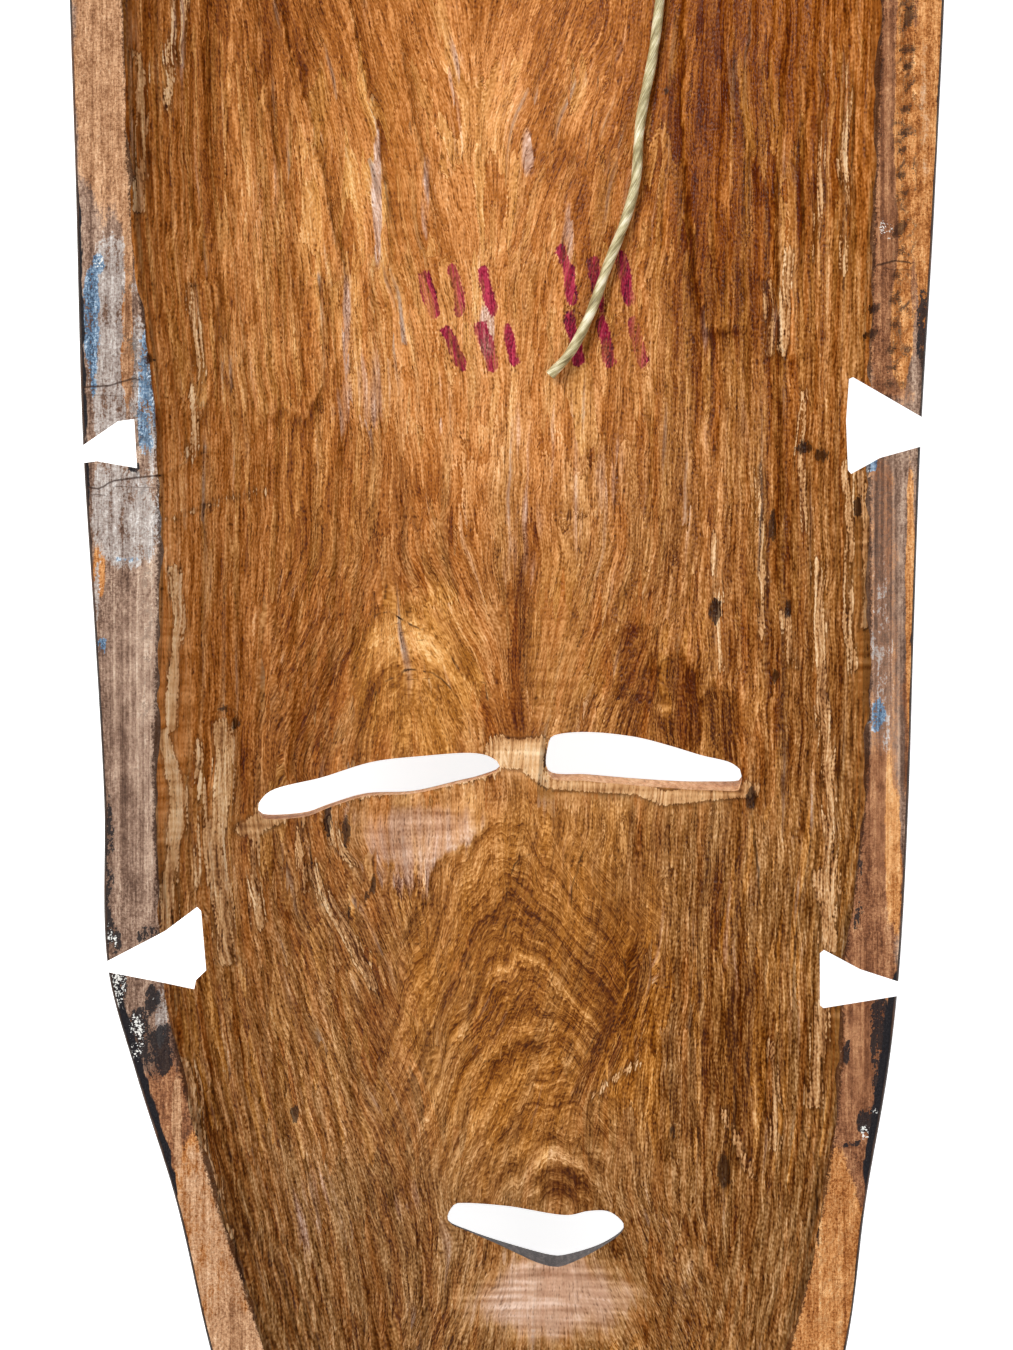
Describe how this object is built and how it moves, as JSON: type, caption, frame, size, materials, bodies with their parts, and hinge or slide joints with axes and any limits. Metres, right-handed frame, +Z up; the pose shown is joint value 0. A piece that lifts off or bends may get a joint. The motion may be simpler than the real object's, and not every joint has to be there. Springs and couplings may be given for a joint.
{
  "type": "carved wooden face mask",
  "caption": "Long carved hardwood face mask, hollow at the back, with eye slits, a mouth slit, side notches and a hanging twine; it lies face down.",
  "frame": {"origin": "on the surface that the mask lies on, under the middle of its length and width", "axes": "+Z up out of the hollow back, +Y towards the crown, +X right as seen from above the hollow"},
  "size_m": [0.2426, 0.6, 0.1002],
  "materials": {
    "wood": "satin varnish over carved hardwood, black stain on the face and sides",
    "twine": "waxed twisted twine"
  },
  "bodies": {
    "root": {"mask": "wood", "hanging_twine": "twine", "twine_knot": "twine"}
  },
  "joints": []
}
